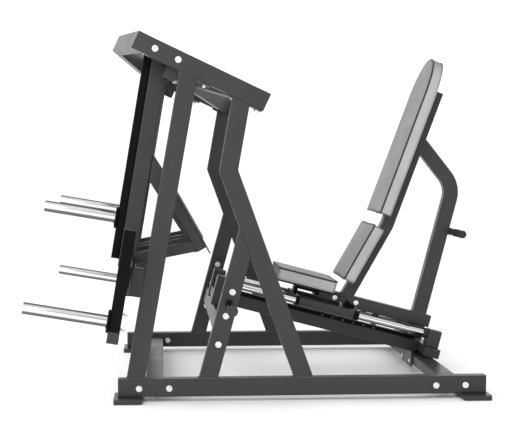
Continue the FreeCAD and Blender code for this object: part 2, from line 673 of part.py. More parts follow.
def rack_screw_holes():
    return [hole(a, b, 2.6, 0.5) for a, b in rack_screw_lines()]


def rear_flange_lines():
    """The two bolts that hold the seat base rail to the rear base crossbar."""
    face = REAR_CROSS_X - TUBE_DEEP / 2
    return [(WORLD.at(face - FLANGE_THICK, 62.0, y), WORLD.at(face + 12.0, 62.0, y)) for y in (-72.0, 72.0)]


def rear_flange_holes():
    return [hole(a, b, BEAM_BOLT_R + BOLT_CLEARANCE) for a, b in rear_flange_lines()]


def pegs():
    """File the storage pegs, and return the left one's end cap."""
    peg = cylinder(WORLD.at(*PEG, -FRAME_OUT - PEG_LONG), WORLD.at(*PEG, -FRAME_OUT), PEG_R)
    stud = cylinder(WORLD.at(*PEG, -FRAME_OUT), WORLD.at(*PEG, -FRAME_IN + FLANGE_THICK + 6.0), BEAM_BOLT_R)
    keep_both("storage_pegs", fuse(peg, stud))
    cap = cylinder(WORLD.at(*PEG, -FRAME_OUT - PEG_LONG - PEG_CAP_LONG),
                   WORLD.at(*PEG, -FRAME_OUT - PEG_LONG), PEG_CAP_R)
    rim = [e for e in cap.Edges if (e.BoundBox.Center.y + FRAME_OUT + PEG_LONG + PEG_CAP_LONG) < 0.1]
    rim = [e for e in rim if e.BoundBox.YLength < 0.1]
    return cap.makeFillet(3.0, rim)


def frame_fasteners():
    bolts = []
    for start, end in frame_bolt_lines():
        bolts.append(bolt(start, end, BOLT_R, BOLT_CAP_R, BOLT_CAP_HIGH))
        inside = bolt(end, start, BOLT_R, BOLT_CAP_R, BOLT_CAP_HIGH)
        bolts[-1] = fuse(bolts[-1], inside)
    bolts = bolts + [right(b) for b in bolts]
    clamps = []
    nuts = [nut(WORLD.at(*PEG, -FRAME_IN), Y_AXIS, BEAM_BOLT_R)]
    for start, end in beam_bolt_lines():
        axis = (end - start).normalize()
        clamps.append(bolt(start, end + axis * 13.0, BEAM_BOLT_R, 10.0, 6.0))
        nuts.append(nut(end, axis, BEAM_BOLT_R))
    clamps = clamps + [right(c) for c in clamps]
    for start, end in rear_flange_lines():
        clamps.append(bolt(start, end, BEAM_BOLT_R, 10.0, 6.0))
    screws = [bolt(start, end, 2.5, 4.5, 2.5) for start, end in rack_screw_lines()]
    keep("frame_bolts", *bolts, *clamps, *nuts, *[right(n) for n in nuts], *screws)


def frame_caps(peg_cap):
    caps = [peg_cap]
    for end, out in ((RAIL_X[0], -1), (RAIL_X[1], 1)):
        caps.append(plug(WORLD, "a", end, out, (FOOT_THICK, RAIL_TOP), LEFT))
    caps.append(plug(BEAM, "a", BEAM_SPAN[0], -1, (-TUBE_DEEP / 2, TUBE_DEEP / 2), LEFT))
    caps = caps + [right(c) for c in caps]
    for end, out in ((-190.0, -1), (190.0, 1)):
        caps.append(plug(SEAT, "y", end, out, REAR_BAR_S, REAR_BAR_N))
    keep("frame_end_caps", *caps)


def carriage():
    half = SEAT_RAIL_HALF
    slant = direction(90 + SEAT_SLOPE + SEAT_RAIL_SLANT[1])
    below = V(-slant.z, 0, slant.x) * -1.0
    corner = SEAT.at(SEAT_RAIL_SLANT[0], SEAT_RAIL_N[0])
    shallow = tube(SEAT, (SEAT_RAIL_S[0], 660.0), (SEAT_RAIL_FRONT_N, SEAT_RAIL_N[1]), (-half, half), "a")
    deep = trim(tube(SEAT, (500.0, SEAT_RAIL_S[1]), SEAT_RAIL_N, (-half, half), "a"), corner, below)
    collar = tube(SEAT, COLLAR_S, COLLAR_N, (-COLLAR_HALF, COLLAR_HALF), "a")
    rail = cut_all(fuse(shallow, deep, collar), seat_bolt_holes())
    rail = rail.cut(cylinder(SEAT.at(PIN_S, SEAT_RAIL_N[0] - 5.0), SEAT.at(PIN_S, SEAT_RAIL_N[0] + 10.0), PIN_R + 0.5))
    rail = rail.cut(cylinder(SEAT.at(LEVER_S, LEVER_N, 0.0), SEAT.at(LEVER_S, LEVER_N, 60.0), 6.05))
    housing = cylinder(SEAT.at(PIN_S, BASE_RAIL_N[1] + RACK_HIGH + 4.0), SEAT.at(PIN_S, SEAT_RAIL_N[0]), 16.0)
    housing = housing.cut(cylinder(SEAT.at(PIN_S, 10.0), SEAT.at(PIN_S, SEAT_RAIL_N[0] + 10.0), PIN_R + 0.05))
    keep("seat_rail", fuse(rail, housing))

    # Each yoke rides on both rods and carries the rail on a post.
    front = block(SEAT, FRONT_YOKE_S, YOKE_N, (-ROD_Y - SLEEVE_R, ROD_Y + SLEEVE_R), "a", SLEEVE_R - 0.5)
    front_post = block(SEAT, FRONT_YOKE_S, (YOKE_N[1] - 5.0, SEAT_RAIL_FRONT_N), (-half, half))
    spine = block(SEAT, (FRONT_YOKE_S[0], COLLAR_S[0]), (110.0, SEAT_RAIL_FRONT_N), (-18.0, 18.0))
    spine_end = block(SEAT, (438.0, COLLAR_S[0]), (101.0, SEAT_RAIL_FRONT_N), (-COLLAR_HALF, COLLAR_HALF))
    front = fuse(front, front_post, spine, spine_end)
    rear = block(SEAT, REAR_YOKE_S, YOKE_N, (-ROD_Y - SLEEVE_R, ROD_Y + SLEEVE_R), "a", SLEEVE_R - 0.5)
    rear_post = block(SEAT, (COLLAR_S[1], REAR_YOKE_S[1]), (YOKE_N[1] - 5.0, SEAT_RAIL_FRONT_N), (-half, half))
    rear = fuse(rear, trim(rear_post, corner, -below))
    yokes = []
    for yoke, span in ((front, FRONT_YOKE_S), (rear, REAR_YOKE_S)):
        bores = [hole(SEAT.at(span[0], ROD_N, y), SEAT.at(span[1], ROD_N, y), ROD_R + 1.0) for y in (-ROD_Y, ROD_Y)]
        yokes.append(cut_all(yoke, bores))
    keep("carriage_yokes", *yokes)

    sleeves = []
    for span, y in ((LEFT_SLEEVE_S, -ROD_Y), (RIGHT_SLEEVE_S, ROD_Y)):
        sleeve = cylinder(SEAT.at(span[0], ROD_N, y), SEAT.at(span[1], ROD_N, y), SLEEVE_R)
        sleeves.append(sleeve.cut(hole(SEAT.at(span[0], ROD_N, y), SEAT.at(span[1], ROD_N, y), ROD_R + 3.0)))
    keep("slider_sleeves", *sleeves)
    bushes = []
    for low in (LEFT_SLEEVE_S[0], LEFT_SLEEVE_S[1] - SLEEVE_BUSH_LONG):
        start = SEAT.at(low, ROD_N, -ROD_Y)
        end = SEAT.at(low + SLEEVE_BUSH_LONG, ROD_N, -ROD_Y)
        bushes.append(cylinder(start, end, ROD_R + 3.0).cut(hole(start, end, ROD_R + ROD_CLEARANCE)))
    keep_both("sleeve_bushes", *bushes)

    skid = block(SEAT, SKID_S, (46.0, SEAT_RAIL_N[0]), (-146.0, 146.0), "y", 4.0)
    for y in (-ROD_Y, ROD_Y):
        skid = skid.cut(hole(SEAT.at(SKID_S[0], ROD_N, y), SEAT.at(SKID_S[1], ROD_N, y), ROD_R + ROD_CLEARANCE))
    keep("rear_skid", skid)

    bolts = []
    for start, end in seat_bolt_lines():
        ends = bolt(start, end, BOLT_R, 13.0, BOLT_CAP_HIGH), bolt(end, start, BOLT_R, 13.0, BOLT_CAP_HIGH)
        bolts.append(fuse(*ends))
    keep("seat_bolts", *bolts)
    caps = [plug(SEAT, "a", SEAT_RAIL_S[0], -1, (SEAT_RAIL_FRONT_N, SEAT_RAIL_N[1]), (-half, half)),
            plug(SEAT, "a", SEAT_RAIL_S[1], 1, SEAT_RAIL_N, (-half, half)),
            plug(UP_BACK, "a", BACK_POST_TOP, 1, post_depth(), (-BACK_POST_HALF, BACK_POST_HALF))]
    keep("seat_end_caps", *caps)


def seat_bolt_lines():
    spots = ((542.0, COLLAR_HALF), (653.5, SEAT_RAIL_HALF))
    return [(SEAT.at(s, LEVER_N, -y), SEAT.at(s, LEVER_N, y)) for s, y in spots]


def seat_bolt_holes():
    return [hole(a, b, BOLT_R + BOLT_CLEARANCE) for a, b in seat_bolt_lines()]


def post_depth():
    front = BACK_PAD_THICK + BOARD_THICK
    return (front, front + BACK_POST_DEEP)


def rounded_outline(centre, side, deep, wide, radius):
    """A rounded rectangle round a point, its half sizes along side and along Y."""
    turns = []
    for quarter, sign in enumerate(((1, 1), (-1, 1), (-1, -1), (1, -1))):
        points = []
        for part in (0.0, 45.0, 90.0):
            angle = math.radians(90.0 * quarter + part)
            across = sign[0] * (deep - radius) + radius * math.cos(angle)
            level = sign[1] * (wide - radius) + radius * math.sin(angle)
            points.append(centre + side * across + Y_AXIS * level)
        turns.append(points)
    edges = []
    for index, points in enumerate(turns):
        edges.append(Part.Arc(*points).toShape())
        edges.append(Part.makeLine(points[2], turns[(index + 1) % 4][0]))
    return Part.Wire(edges)


def backrest():
    y = (-BACK_POST_HALF, BACK_POST_HALF)
    depth = post_depth()
    centre = sum(depth) / 2
    # The two centre lines meet at the knee.
    gap = UP_BACK.at(0, centre) - LOW_BACK.at(0, centre)
    knee_a = gap.cross(UP_BACK.along).y / LOW_BACK.along.cross(UP_BACK.along).y
    knee = LOW_BACK.at(knee_a, centre)
    middle = (LOW_BACK.along + UP_BACK.along).normalize()
    lower = trim(tube(LOW_BACK, (-200.0, knee_a + 40.0), depth, y, "a"), knee, middle)
    lower = trim(lower, SEAT.at(0, SEAT_RAIL_N[1]), -SEAT.across)
    upper = trim(tube(UP_BACK, (-120.0, BACK_POST_TOP), depth, y, "a"), knee, -middle)
    keep("back_post", fuse(lower, upper))

    foot = WORLD.at(*SUPPORT_FOOT)
    bend = WORLD.at(*SUPPORT_KNEE)
    rise = (bend - foot).normalize()
    lean = direction(SUPPORT_TOP_LEAN)
    turn = rise.getAngle(lean)
    back = SUPPORT_BEND_R * math.tan(turn / 2)
    start = foot - rise * 80.0
    arc_start = bend - rise * back
    arc_end = bend + lean * back
    centre = arc_start + V(-rise.z, 0, rise.x) * SUPPORT_BEND_R
    arc_mid = centre + (bend - centre).normalize() * SUPPORT_BEND_R
    finish = bend + lean * 420.0
    path = Part.Wire([Part.makeLine(start, arc_start),
                      Part.Arc(arc_start, arc_mid, arc_end).toShape(),
                      Part.makeLine(arc_end, finish)])
    side = V(rise.z, 0, -rise.x)

    def sweep(deep, wide, radius):
        return path.makePipeShell([rounded_outline(start, side, deep, wide, radius)], True, True)

    outer = sweep(SUPPORT_DEEP / 2, TUBE_WIDE / 2, CORNER)
    solid = outer.cut(sweep(SUPPORT_DEEP / 2 - WALL, TUBE_WIDE / 2 - WALL, CORNER - WALL))
    solid = trim(solid, SEAT.at(0, SEAT_RAIL_N[1]), -SEAT.across)
    solid = trim(solid, UP_BACK.at(0, depth[1]), -UP_BACK.across)
    keep("back_support", solid)

    grip = cylinder(WORLD.at(*GRIP, -GRIP_HALF), WORLD.at(*GRIP, GRIP_HALF), GRIP_R)
    rear_face = foot + side * (SUPPORT_DEEP / 2)
    boss = block(Axes(GRIP, rise, side), (-18.0, 18.0), (-60.0, 0.0), (-20.0, 20.0), "b", 4.0)
    keep("rear_grip", fuse(trim(boss, rear_face, -side), grip))
    sleeves = []
    for low, high in ((-GRIP_HALF - 3.0, -60.0), (60.0, GRIP_HALF + 3.0)):
        ends = (WORLD.at(*GRIP, low), WORLD.at(*GRIP, high))
        skin = cylinder(*ends, GRIP_R + 4.0)
        core = cylinder(WORLD.at(*GRIP, -GRIP_HALF), WORLD.at(*GRIP, GRIP_HALF), GRIP_R)
        sleeves.append(skin.cut(core))
    keep("rear_grip_sleeves", *sleeves)


def pads():
    y = (-PAD_HALF, PAD_HALF)
    board_y = shrink(y, 12.0)
    seat_n = (SEAT_RAIL_N[1], SEAT_RAIL_N[1] + BOARD_THICK)
    boards = [block(SEAT, shrink(SEAT_PAD_S, 12.0), seat_n, board_y, "b", 24.0)]
    behind = (BACK_PAD_THICK, BACK_PAD_THICK + BOARD_THICK)
    boards.append(block(LOW_BACK, shrink((0.0, LOWER_BACK_LONG), 10.0), behind, board_y, "b", 20.0))
    boards.append(block(UP_BACK, (10.0, UPPER_BACK_LONG - 90.0), behind, shrink(y, 36.0), "b", 30.0))
    keep("pad_boards", *boards)
    seat = block(SEAT, SEAT_PAD_S, (seat_n[0], seat_n[1] + SEAT_PAD_THICK), y, "b", 36.0)
    lower = block(LOW_BACK, (0.0, LOWER_BACK_LONG), (0.0, behind[1]), y, "b", 22.0)
    # Each cover wraps round the edge of its board.
    keep("seat_pad", seat.cut(boards[0]))
    keep("lower_back_pad", lower.cut(boards[1]))
    keep("upper_back_pad", upper_pad().cut(boards[2]))


def upper_pad():
    """A long pad whose top narrows to a round end."""
    shoulder = UPPER_BACK_LONG - UPPER_BACK_ROUND
    side = UP_BACK.at(shoulder, 0, -PAD_HALF)
    other = UP_BACK.at(shoulder, 0, PAD_HALF)
    crown = UP_BACK.at(UPPER_BACK_LONG, 0, 0)

    def quarter(start):
        """Half of the round end, as a curve that leaves the side straight and meets the crown square."""
        edge_y = start - UP_BACK.at(shoulder, 0, 0)
        tip = start + UP_BACK.along * UPPER_BACK_ROUND
        spline = Part.BezierCurve()
        pull = start + UP_BACK.along * (UPPER_BACK_ROUND * 0.55)
        level = tip - edge_y * 0.38
        spline.setPoles([start, pull, level, crown])
        return spline.toShape()

    low = UP_BACK.at(0, 0, -PAD_HALF)
    low_other = UP_BACK.at(0, 0, PAD_HALF)
    outline = Part.Wire([Part.makeLine(low_other, low), Part.makeLine(low, side), quarter(side),
                         quarter(other), Part.makeLine(other, low_other)])
    return Part.Face(outline).extrude(UP_BACK.across * (BACK_PAD_THICK + BOARD_THICK))


def lock():
    """The spring-free lock pin and the hand lever that lifts it."""
    tip = BASE_RAIL_N[1] + RACK_HIGH + 2.0
    shank = cylinder(SEAT.at(PIN_S, tip), SEAT.at(PIN_S, 132.0), PIN_R)
    head = cylinder(SEAT.at(PIN_S, 124.0), SEAT.at(PIN_S, 132.0), 14.0)
    keep("lock_pin", fuse(shank, head))
    shaft = cylinder(SEAT.at(LEVER_S, LEVER_N, -26.0), SEAT.at(LEVER_S, LEVER_N, LEVER_Y + 6.0), 6.0)
    prongs = []
    for y in (-13.0, 9.5):
        prongs.append(block(SEAT, (LEVER_S, PIN_S + 6.0), (LEVER_N - 4.0, LEVER_N + 4.0), (y, y + 3.5)))
    boss = cylinder(SEAT.at(LEVER_S, LEVER_N, -13.0), SEAT.at(LEVER_S, LEVER_N, 13.0), 10.0)
    handle = block(SEAT, (LEVER_S - 150.0, LEVER_S + 12.0), (LEVER_N - 9.0, LEVER_N + 9.0),
                   (LEVER_Y - 4.0, LEVER_Y + 4.0), "y", 8.0)
    keep("release_lever", fuse(shaft, boss, prongs[0], prongs[1], handle))
    skin = block(SEAT, (LEVER_S - 165.0, LEVER_S - 60.0), (LEVER_N - 14.0, LEVER_N + 14.0),
                 (LEVER_Y - 9.0, LEVER_Y + 9.0), "a", 8.0)
    keep("lever_grip", skin.cut(handle))


def save():
    os.makedirs("parts", exist_ok=True)
    for name, solids in NODES.items():
        shape = solids[0] if len(solids) == 1 else Part.makeCompound(list(solids))
        shape.exportStep("parts/" + name + ".step")


base()
posts()
top_frame()
pivot()
stops()
arms()
horns()
foot_plates()
arm_caps()
seat_frame()
peg_end = pegs()
frame_fasteners()
frame_caps(peg_end)
carriage()
backrest()
pads()
lock()
save()
print(len(NODES), "nodes")
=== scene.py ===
import json
import math
import random

import bmesh
import bpy
import numpy as np
from mathutils import Matrix, Vector, noise
from mathutils.bvhtree import BVHTree


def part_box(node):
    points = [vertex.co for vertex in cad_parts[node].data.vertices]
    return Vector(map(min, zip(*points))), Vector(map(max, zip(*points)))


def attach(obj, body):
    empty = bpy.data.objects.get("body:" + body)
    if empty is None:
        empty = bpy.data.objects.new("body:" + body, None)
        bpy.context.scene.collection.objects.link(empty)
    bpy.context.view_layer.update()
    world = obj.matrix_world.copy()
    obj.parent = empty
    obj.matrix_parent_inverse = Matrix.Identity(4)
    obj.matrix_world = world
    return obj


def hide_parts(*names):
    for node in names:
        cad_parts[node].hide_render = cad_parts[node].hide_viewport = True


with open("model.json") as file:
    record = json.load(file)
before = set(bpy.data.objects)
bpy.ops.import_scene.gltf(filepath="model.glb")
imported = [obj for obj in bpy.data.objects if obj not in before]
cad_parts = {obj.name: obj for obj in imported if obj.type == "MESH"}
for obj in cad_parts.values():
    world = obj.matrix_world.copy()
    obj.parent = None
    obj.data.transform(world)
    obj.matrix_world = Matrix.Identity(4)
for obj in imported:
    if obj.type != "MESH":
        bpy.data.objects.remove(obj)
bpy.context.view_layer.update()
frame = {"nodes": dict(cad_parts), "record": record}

NODES = frame["nodes"]
SLOT_OF = {row["node"]: row["material_slot"] for row in frame["record"]["subparts"]}
BODY_OF = {node: body for body, nodes in frame["record"]["behaviour"]["bodies"].items() for node in nodes}
Y_AXIS = Vector((0, 1, 0))
MM = 0.001
MERGE_DISTANCE = 0.01 * MM
SHARP_ANGLE = math.radians(30.0)


# ---- materials ----

class Graph:
    """A small helper that builds one node-based material."""

    def __init__(self, name):
        self.material = bpy.data.materials.new(name)
        self.material.use_nodes = True
        self.tree = self.material.node_tree
        self.shader = self.tree.nodes["Principled BSDF"]
        coordinates = self.tree.nodes.new("ShaderNodeTexCoord")
        self.position = coordinates.outputs["Object"]

    def node(self, kind, inputs=(), **settings):
        made = self.tree.nodes.new(kind)
        for key, value in settings.items():
            setattr(made, key, value)
        for key, value in dict(inputs).items():
            if isinstance(value, bpy.types.NodeSocket):
                self.tree.links.new(value, made.inputs[key])
            else:
                made.inputs[key].default_value = value
        return made

    def stretched(self, scale):
        """The object's coordinates at a different scale along each axis."""
        return self.node("ShaderNodeMapping", {"Vector": self.position, "Scale": scale}).outputs[0]

    def noise(self, scale, detail=3.0, rough=0.55, vector=None):
        values = {"Vector": vector or self.position, "Scale": scale, "Detail": detail, "Roughness": rough}
        return self.node("ShaderNodeTexNoise", values).outputs[0]

    def cells(self, scale, feature="F1", vector=None):
        values = {"Vector": vector or self.position, "Scale": scale}
        return self.node("ShaderNodeTexVoronoi", values, feature=feature).outputs["Distance"]

    def remap(self, value, low, high, to_low, to_high):
        values = {"Value": value, 1: low, 2: high, 3: to_low, 4: to_high}
        return self.node("ShaderNodeMapRange", values).outputs[0]

    def math(self, operation, a, b=0.0):
        return self.node("ShaderNodeMath", {0: a, 1: b}, operation=operation).outputs[0]

    def mix(self, factor, a, b):
        made = self.node("ShaderNodeMix", data_type="RGBA")
        for index, value in ((0, factor), (6, a), (7, b)):
            if isinstance(value, bpy.types.NodeSocket):
                self.tree.links.new(value, made.inputs[index])
            else:
                made.inputs[index].default_value = value
        return made.outputs[2]

    def edges(self, radius):
        """1 on an edge and 0 on a flat face, from how far a rounded normal leans away from the true one."""
        bevel = self.node("ShaderNodeBevel", {"Radius": radius}, samples=4).outputs[0]
        dot = self.vector_math("DOT_PRODUCT", bevel, self.normal())["Value"]
        return self.remap(dot, 0.995, 0.80, 0.0, 1.0)

    def split(self, vector):
        """The x, y and z of a vector."""
        return self.node("ShaderNodeSeparateXYZ", {0: vector}).outputs

    def normal(self):
        return self.node("ShaderNodeNewGeometry").outputs["Normal"]

    def vector_math(self, operation, a, b):
        return self.node("ShaderNodeVectorMath", {0: a, 1: b}, operation=operation).outputs

    def bump(self, height, distance, strength=1.0, below=None):
        values = {"Height": height, "Distance": distance, "Strength": strength}
        if below is not None:
            values["Normal"] = below
        return self.node("ShaderNodeBump", values).outputs[0]

    def set(self, **values):
        for key, value in values.items():
            socket = self.shader.inputs[key.replace("_", " ")]
            if isinstance(value, bpy.types.NodeSocket):
                self.tree.links.new(value, socket)
            else:
                socket.default_value = value
        return self.material


def grey(value, warm=0.0):
    """A grey colour, a little warmer or cooler than neutral."""
    return (value * (1 + warm), value, value * (1 - warm), 1.0)


def powder_coat(name, dark, light, rough, shine):
    """Satin powder coat: fine orange peel, faint dust, paint that is thinner and paler on the edges."""
    g = Graph(name)
    blotch = g.remap(g.noise(5.0, 4.0), 0.3, 0.7, 0.0, 1.0)
    base = g.mix(blotch, grey(dark, -0.02), grey(light, -0.02))
    speck = g.remap(g.noise(2600.0, 2.0), 0.62, 0.72, 0.0, 0.35)
    base = g.mix(speck, base, grey(light * 1.5))
    worn = g.math("MULTIPLY", g.edges(0.0022), g.remap(g.noise(60.0, 4.0), 0.35, 0.7, 0.15, 0.6))
    base = g.mix(worn, base, grey(light * 2.4))
    peel = g.bump(g.noise(520.0, 3.0), 0.00012, 0.6)
    grain = g.bump(g.noise(2200.0, 2.0), 0.00004, 0.6, peel)
    gloss = g.remap(g.noise(9.0, 4.0), 0.3, 0.7, rough - 0.05, rough + 0.06)
    return g.set(Base_Color=base, Roughness=gloss, Normal=grain, Specular_IOR_Level=shine)


def chrome(name, dark):
    """Chrome plate with fingerprints; its base colour holds a painted reflection of the room's dark parts:
    mid grey where it tilts upward, dark on its underside, its top and its edges.
    """
    g = Graph(name)
    smudge = g.remap(g.noise(14.0, 6.0, 0.65), 0.45, 0.75, 0.0, 1.0)
    rough = g.math("ADD", g.math("MULTIPLY", smudge, 0.06), 0.09)
    base = g.mix(smudge, (0.9, 0.91, 0.92, 1), (0.85, 0.86, 0.87, 1))
    # Painted reflection: the colour turns mid grey on faces tilted upward, and to the dark grey on faces
    # turned down, on faces turned straight up and on edges.
    upward = g.split(g.normal())[2]
    under = g.remap(upward, -0.22, -0.42, 0.0, 1.0)
    over = g.remap(upward, 0.7, 0.85, 0.0, 1.0)
    base = g.mix(g.remap(upward, 0.3, 0.55, 0.0, 1.0), base, grey(0.6))
    base = g.mix(g.math("MAXIMUM", g.math("MAXIMUM", under, over), g.edges(0.003)), base, grey(dark))
    fine = g.bump(g.noise(900.0, 2.0), 0.000008, 0.4)
    return g.set(Base_Color=base, Metallic=1.0, Roughness=rough, Normal=fine, Specular_Tint=grey(0.25))


def steel(name, color, rough, metallic=1.0):
    """Plated or machined metal with fine turning marks and a little tarnish."""
    g = Graph(name)
    tarnish = g.remap(g.noise(45.0, 5.0), 0.35, 0.7, 0.0, 1.0)
    dull = tuple(c * 0.72 for c in color[:3]) + (1.0,)
    base = g.mix(tarnish, color, dull)
    gloss = g.remap(g.noise(160.0, 4.0), 0.3, 0.7, rough - 0.07, rough + 0.1)
    marks = g.bump(g.noise(1800.0, 2.0), 0.00003, 0.6)
    return g.set(Base_Color=base, Metallic=metallic, Roughness=gloss, Normal=marks)


def moulded(name, value, rough, grain=900.0, depth=0.00008, spread=0.25, warm=0.0):
    """Moulded plastic or rubber with an eroded matt grain."""
    g = Graph(name)
    cloud = g.remap(g.noise(22.0, 5.0), 0.3, 0.7, 0.0, 1.0)
    base = g.mix(cloud, grey(value * (1 - spread), warm), grey(value * (1 + spread), warm))
    dust = g.math("MULTIPLY", g.edges(0.0015), 0.35)
    base = g.mix(dust, base, grey(min(value * 2.2 + 0.02, 0.9), warm))
    skin = g.bump(g.cells(grain), depth, 0.5)
    skin = g.bump(g.noise(grain * 2.1, 3.0), depth * 0.5, 0.5, skin)
    gloss = g.remap(g.noise(40.0, 4.0), 0.3, 0.7, rough - 0.07, rough + 0.07)
    return g.set(Base_Color=base, Roughness=gloss, Normal=skin)


def vinyl(name, dark, light, grain=620.0, ends=None):
    """Pebbled upholstery vinyl with fine creases; ends is the grey of the painted shade on a strip's top
    and bottom.
    """
    g = Graph(name)
    warp = g.noise(180.0, 2.0)
    drift = g.vector_math("MULTIPLY", (0.0012, 0.0012, 0.0012), warp)[0]
    place = g.vector_math("ADD", g.position, drift)[0]
    crease = g.remap(g.cells(grain, "DISTANCE_TO_EDGE", place), 0.0, 0.16, 0.0, 1.0)
    soft = g.noise(7.0, 4.0)
    base = g.mix(g.remap(soft, 0.3, 0.7, 0.0, 1.0), grey(dark), grey(light))
    # Painted shade: where the normal turns away from the side, at a strip's rounded top and bottom ends,
    # the colour darkens to the ends grey.
    if ends is not None:
        sideways = g.split(g.normal())[1]
        base = g.mix(g.remap(g.math("ABSOLUTE", sideways), 0.9, 0.3, 0.0, 1.0), base, grey(ends))
    # Painted shade: the creases of the pebble grain are darkened in the colour.
    base = g.mix(g.remap(crease, 0.0, 1.0, 0.42, 0.0), base, grey(dark * 0.45))
    pebble = g.bump(crease, 0.00016, 0.55)
    folds = g.bump(g.noise(70.0, 3.0), 0.0005, 0.25, pebble)
    pores = g.bump(g.noise(3000.0, 2.0), 0.00003, 0.5, folds)
    rubbed = g.remap(soft, 0.3, 0.7, 0.56, 0.44)
    gloss = g.math("ADD", rubbed, g.remap(crease, 0.0, 1.0, 0.12, 0.0))
    return g.set(Base_Color=base, Roughness=gloss, Normal=pores, Specular_IOR_Level=0.4,
                 Sheen_Weight=0.08, Sheen_Roughness=0.5)


def plywood(name):
    """A board painted black, with the wood's grain showing through."""
    g = Graph(name)
    grain = g.noise(1.0, 6.0, 0.6, g.stretched((14.0, 320.0, 14.0)))
    base = g.mix(g.remap(grain, 0.35, 0.7, 0.0, 1.0), grey(0.012, 0.05), grey(0.03, 0.1))
    lines = g.bump(grain, 0.0002, 0.5)
    return g.set(Base_Color=base, Roughness=g.remap(grain, 0.3, 0.7, 0.5, 0.68), Normal=lines)


def thread(name):
    """Twisted upholstery thread."""
    g = Graph(name)
    twist = g.noise(1.0, 2.0, 0.5, g.stretched((1800.0, 1800.0, 1800.0)))
    base = g.mix(g.remap(twist, 0.4, 0.6, 0.0, 1.0), grey(0.03), grey(0.09))
    return g.set(Base_Color=base, Roughness=0.8, Normal=g.bump(twist, 0.0001, 0.7))


def weld_metal(name, value):
    """A painted weld bead with an uneven, rippled skin."""
    g = Graph(name)
    scale = g.remap(g.noise(260.0, 4.0), 0.35, 0.7, 0.0, 1.0)
    base = g.mix(scale, grey(value), grey(value * 1.6))
    return g.set(Base_Color=base, Roughness=0.45, Normal=g.bump(g.noise(700.0, 3.0), 0.0002, 0.5))


MATERIALS = {
    "frame_paint": powder_coat("frame_paint", 0.032, 0.039, 0.34, 0.3),
    "black_paint": powder_coat("black_paint", 0.002, 0.004, 0.34, 0.08),
    "chrome": chrome("chrome", 0.16),
    "zinc_steel": steel("zinc_steel", (0.86, 0.86, 0.85, 1.0), 0.3, 0.85),
    "bronze": steel("bronze", (0.42, 0.27, 0.13, 1.0), 0.4),
    "rubber": moulded("rubber", 0.014, 0.72),
    "plastic": moulded("plastic", 0.022, 0.5, 1400.0, 0.00005),
    "nylon": moulded("nylon", 0.85, 0.4, 1500.0, 0.00004, 0.05, 0.02),
    "board": plywood("board"),
    "vinyl": vinyl("vinyl", 0.2, 0.235),
}
# The pegs' chrome, whose painted reflection is a paler grey.
PALE_REFLECTION_CHROME = chrome("chrome_pale_painted_reflection", 0.5)
# The side strips' vinyl: paler as painted light, and dark at its ends as painted shade.
GUSSET_PAINTED_LIGHT = vinyl("gusset_vinyl_painted_light", 0.43, 0.49, ends=0.07)
PIPING = vinyl("piping_vinyl", 0.004, 0.008, 900.0)
TREAD = moulded("tread_rubber", 0.15, 0.55, 1100.0, 0.00006)
STUD = moulded("stud_rubber", 0.3, 0.45, 1300.0, 0.00005)
THREAD = thread("thread")
WELD = weld_metal("weld_bead", 0.05)


def dress(obj, material):
    obj.data.materials.clear()
    obj.data.materials.append(material)


for node_name, node_object in NODES.items():
    dress(node_object, MATERIALS[SLOT_OF[node_name]])
dress(NODES["storage_pegs"], PALE_REFLECTION_CHROME)


# ---- mesh helpers ----

def new_object(name, vertices, faces, material, smooth=True):
    """A mesh object with its faces turned outwards."""
    mesh = bpy.data.meshes.new(name)
    mesh.from_pydata([tuple(v) for v in vertices], [], faces)
    mesh.validate()
    obj = bpy.data.objects.new(name, mesh)
    bpy.context.scene.collection.objects.link(obj)
    bm = bmesh.new()
    bm.from_mesh(mesh)
    bmesh.ops.recalc_face_normals(bm, faces=bm.faces)
    bm.to_mesh(mesh)
    bm.free()
    if smooth:
        mesh.shade_smooth()
    mesh.materials.append(material)
    return obj


def ride_with(obj, node):
    """The piece moves with the node's body."""
    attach(obj, BODY_OF[node])


def finish_piece(obj, node):
    """The piece moves with the node's body and stands for the node."""
    ride_with(obj, node)
    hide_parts(node)


def ring(centre, across, other, radius, sides):
    """Points of a circle about centre, from the across direction towards the other one."""
    angles = [2 * math.pi * k / sides for k in range(sides)]
    return [centre + (across * math.cos(angle) + other * math.sin(angle)) * radius for angle in angles]


def ring_faces(start, rings, sides):
    """The faces that join each ring of points to the next."""
    faces = []
    for i in range(rings - 1):
        for k in range(sides):
            a = start + i * sides + k
            b = start + i * sides + (k + 1) % sides
            faces.append((a, b, b + sides, a + sides))
    return faces


def cap(start, rings, sides):
    """The two faces that close the first and the last ring."""
    last = start + (rings - 1) * sides
    return [tuple(range(start, start + sides)), tuple(range(last, last + sides))]


def join_mesh(vertices, faces, more, rows):
    """Add one mesh's points and faces to another's lists."""
    start = len(vertices)
    vertices += more
    faces += [tuple(start + k for k in row) for row in rows]


def tube_mesh(path, radius, closed=True, sides=8):
    """Vertices and faces of a round tube along a path; radius may be a function of the point's index."""
    count = len(path)
    vertices = []
    across = None
    for i, point in enumerate(path):
        ahead = path[(i + 1) % count] if closed or i < count - 1 else point
        behind = path[i - 1] if closed or i > 0 else point
        tangent = (ahead - behind).normalized()
        if across is None:
            across = tangent.orthogonal().normalized()
        across = (across - tangent * across.dot(tangent)).normalized()
        other = tangent.cross(across)
        vertices += ring(point, across, other, radius(i) if callable(radius) else radius, sides)
    faces = ring_faces(0, count, sides)
    if not closed:
        return vertices, faces + cap(0, count, sides)
    # The frame may have turned on its way round, so the last ring joins the first at the nearest corner.
    last = (count - 1) * sides
    shift = min(range(sides), key=lambda k: (vertices[k] - vertices[last]).length)
    for k in range(sides):
        faces.append((last + k, last + (k + 1) % sides, (k + 1 + shift) % sides, (k + shift) % sides))
    return vertices, faces


